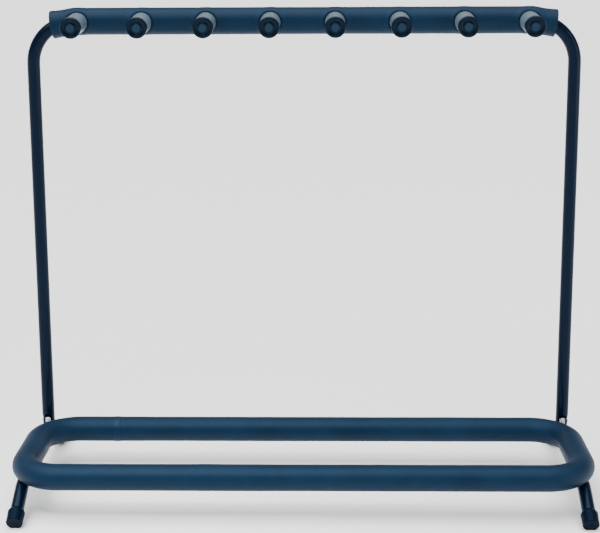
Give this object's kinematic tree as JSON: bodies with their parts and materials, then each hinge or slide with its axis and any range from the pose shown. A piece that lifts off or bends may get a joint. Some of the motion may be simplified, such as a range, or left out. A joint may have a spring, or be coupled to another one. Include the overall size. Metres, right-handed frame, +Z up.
{
  "type": "guitar rack",
  "caption": "Folding floor rack for guitars: padded ring cradle on two legs, hinged inverted-U frame with padded neck pegs.",
  "frame": {"origin": "on the floor, in the middle of the four rubber feet", "axes": "+X to the right along the rack, +Y to the back, +Z up"},
  "size_m": [0.8794, 0.3712, 0.7337],
  "materials": {
    "gloss_paint": "gloss blue-black paint",
    "navy_foam": "matt dark navy closed-cell foam",
    "joint_tape": "thin dark plastic tape",
    "grey_foam": "grey foam rubber, satin",
    "cap_plastic": "moulded black plastic",
    "boot_rubber": "moulded black rubber",
    "zinc_plate": "bright zinc plate"
  },
  "bodies": {
    "cradle": {"ring_tube": "gloss_paint", "ring_spigot": "zinc_plate", "ring_rivets": "zinc_plate", "cradle_foam": "navy_foam", "foam_joint_band": "joint_tape", "leg_tube_left": "gloss_paint", "leg_tube_right": "gloss_paint", "leg_welds_left": "gloss_paint", "leg_welds_right": "gloss_paint", "hinge_lug_left": "zinc_plate", "hinge_lug_right": "zinc_plate", "stop_tab_left": "gloss_paint", "stop_tab_right": "gloss_paint", "boot_front_left": "boot_rubber", "boot_front_right": "boot_rubber", "boot_rear_left": "boot_rubber", "boot_rear_right": "boot_rubber"},
    "neck_frame": {"neck_frame_tube": "gloss_paint", "neck_bar_foam": "navy_foam", "peg_stud_1": "zinc_plate", "peg_stud_2": "zinc_plate", "peg_stud_3": "zinc_plate", "peg_stud_4": "zinc_plate", "peg_stud_5": "zinc_plate", "peg_stud_6": "zinc_plate", "peg_stud_7": "zinc_plate", "peg_stud_8": "zinc_plate", "peg_sleeve_1": "grey_foam", "peg_sleeve_2": "grey_foam", "peg_sleeve_3": "grey_foam", "peg_sleeve_4": "grey_foam", "peg_sleeve_5": "grey_foam", "peg_sleeve_6": "grey_foam", "peg_sleeve_7": "grey_foam", "peg_sleeve_8": "grey_foam", "peg_cap_1": "cap_plastic", "peg_cap_2": "cap_plastic", "peg_cap_3": "cap_plastic", "peg_cap_4": "cap_plastic", "peg_cap_5": "cap_plastic", "peg_cap_6": "cap_plastic", "peg_cap_7": "cap_plastic", "peg_cap_8": "cap_plastic", "pivot_bolt_left": "zinc_plate", "pivot_bolt_right": "zinc_plate", "pivot_nut_left": "zinc_plate", "pivot_nut_right": "zinc_plate", "pivot_washer_left": "zinc_plate", "pivot_washer_right": "zinc_plate"}
  },
  "joints": [
    {"name": "frame_fold", "type": "hinge", "parent": "cradle", "child": "neck_frame", "pos_m": [0, 0.095, 0.071], "axis": [1, 0, 0], "range_deg": [0, 66]}
  ]
}
